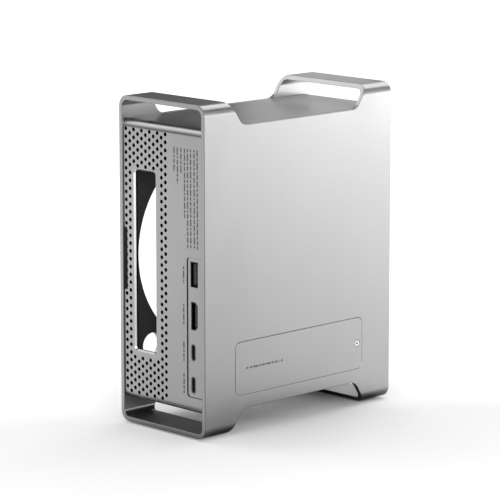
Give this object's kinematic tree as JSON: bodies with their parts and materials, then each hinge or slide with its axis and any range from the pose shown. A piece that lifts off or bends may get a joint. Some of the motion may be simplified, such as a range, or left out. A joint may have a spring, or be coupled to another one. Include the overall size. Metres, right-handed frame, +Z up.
{
  "type": "desktop docking station",
  "caption": "Upright aluminium docking tower with carrying bars, a bay for a flat square computer, rear sockets and a plug-in drive bay behind a hooked door.",
  "frame": {"origin": "middle of the footprint on the table, under the foot pads", "axes": "+Z up, -Y towards the rear panel with the sockets, +X towards the drive door"},
  "size_m": [0.067, 0.1432, 0.181],
  "materials": {
    "satin_aluminium": "bead-blasted, clear anodised",
    "black_plastic": "fine texture",
    "board": "solder mask",
    "chip": "moulded",
    "coil": "sintered",
    "can": "bright",
    "steel": "plated",
    "brass": "turned",
    "rubber": "matt",
    "thermal": "soft"
  },
  "bodies": {
    "chassis": {"outer_sleeve": "satin_aluminium", "inner_shell": "satin_aluminium", "port_plate": "satin_aluminium", "computer_cradle": "black_plastic", "drive_frame": "black_plastic", "drive_connector": "black_plastic", "type_a_tongue": "black_plastic", "video_tongue": "black_plastic", "type_c_upper_tongue": "black_plastic", "type_c_lower_tongue": "black_plastic", "main_board": "board", "board_chips": "chip", "board_coils": "coil", "board_capacitors": "can", "type_a_shell": "steel", "video_shell": "steel", "type_c_upper_shell": "steel", "type_c_lower_shell": "steel", "board_screws": "steel", "shell_screws": "steel", "door_insert": "brass", "latch_post": "brass", "rear_foot_pad": "rubber", "front_foot_pad": "rubber", "bay_strips": "rubber"},
    "door": {"drive_door": "satin_aluminium", "thermal_pad": "thermal"},
    "screw": {"door_screw": "steel", "screw_clip": "steel"},
    "latch": {"drive_latch": "black_plastic"}
  },
  "joints": [
    {"name": "door_swing", "type": "hinge", "parent": "chassis", "child": "door", "pos_m": [0.0335, -0.04905, 0.0362], "axis": [0, 0, -1], "range_deg": [0, 35]},
    {"name": "screw_turn", "type": "hinge", "parent": "door", "child": "screw", "pos_m": [0.0335, 0.04532, 0.0362], "axis": [1, 0, 0], "continuous": true},
    {"name": "latch_turn", "type": "hinge", "parent": "chassis", "child": "latch", "pos_m": [0.0273, 0.03765, 0.0362], "axis": [1, 0, 0], "range_deg": [0, 90]}
  ]
}
